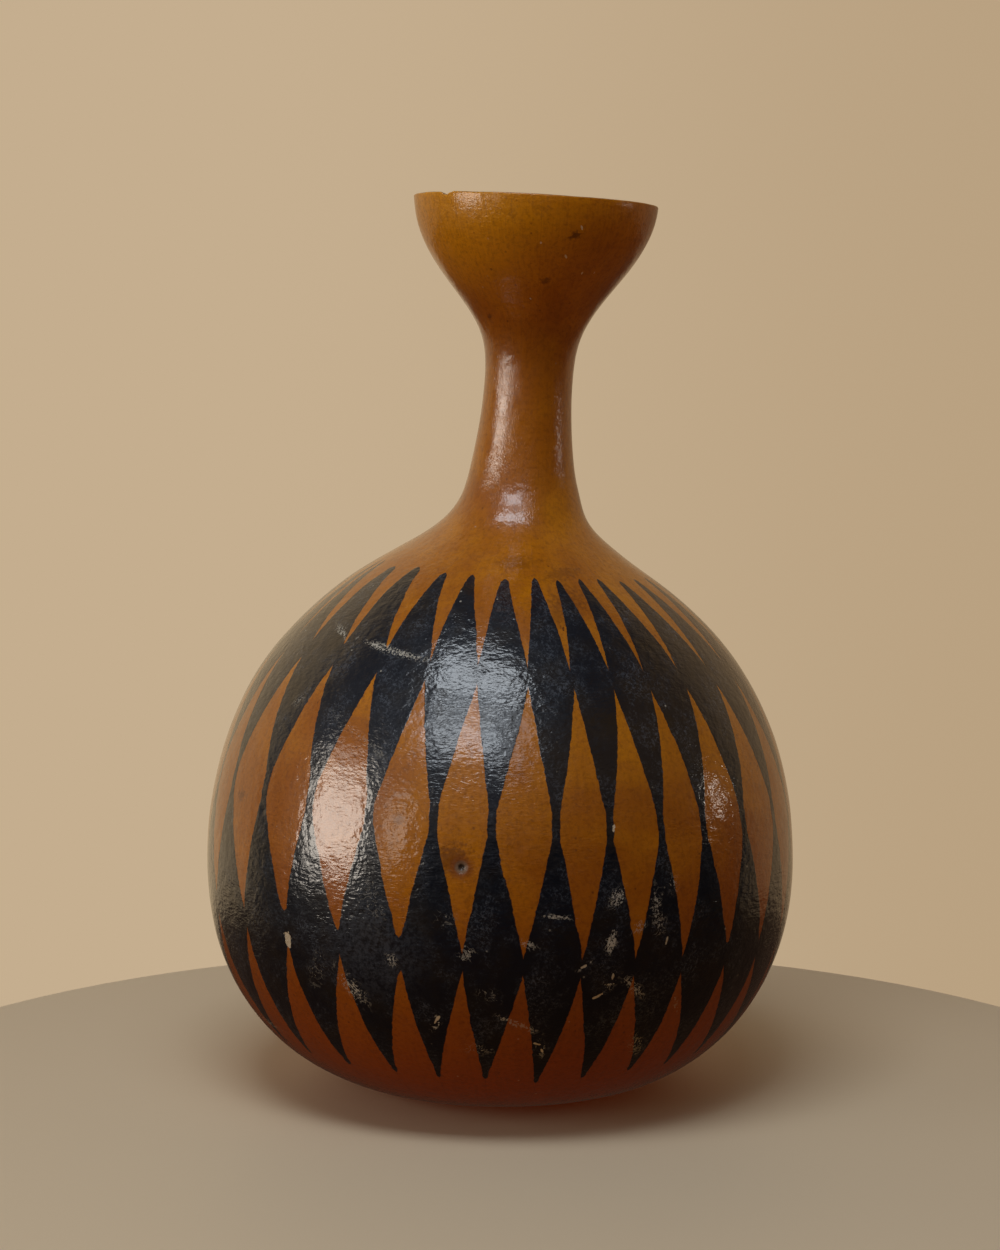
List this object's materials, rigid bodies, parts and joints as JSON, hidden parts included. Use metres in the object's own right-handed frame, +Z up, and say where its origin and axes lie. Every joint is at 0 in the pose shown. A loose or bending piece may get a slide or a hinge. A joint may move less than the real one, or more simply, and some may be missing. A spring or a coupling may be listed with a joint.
{
  "type": "dried bottle gourd",
  "caption": "Hollowed dried bottle gourd with a round body, a slender leaning neck and a cup-shaped open top, painted with rows of black diamonds.",
  "frame": {"origin": "middle of the flat spot the gourd rests on, under the middle of its body", "axes": "+Z up through the body and neck, -Y towards the front, +X to the side that the neck leans to"},
  "size_m": [0.2044, 0.2044, 0.3078],
  "materials": {
    "gourd_skin": "gloss varnish over brown gourd skin, with black painted diamonds"
  },
  "bodies": {
    "root": {"gourd": "gourd_skin"}
  },
  "joints": []
}
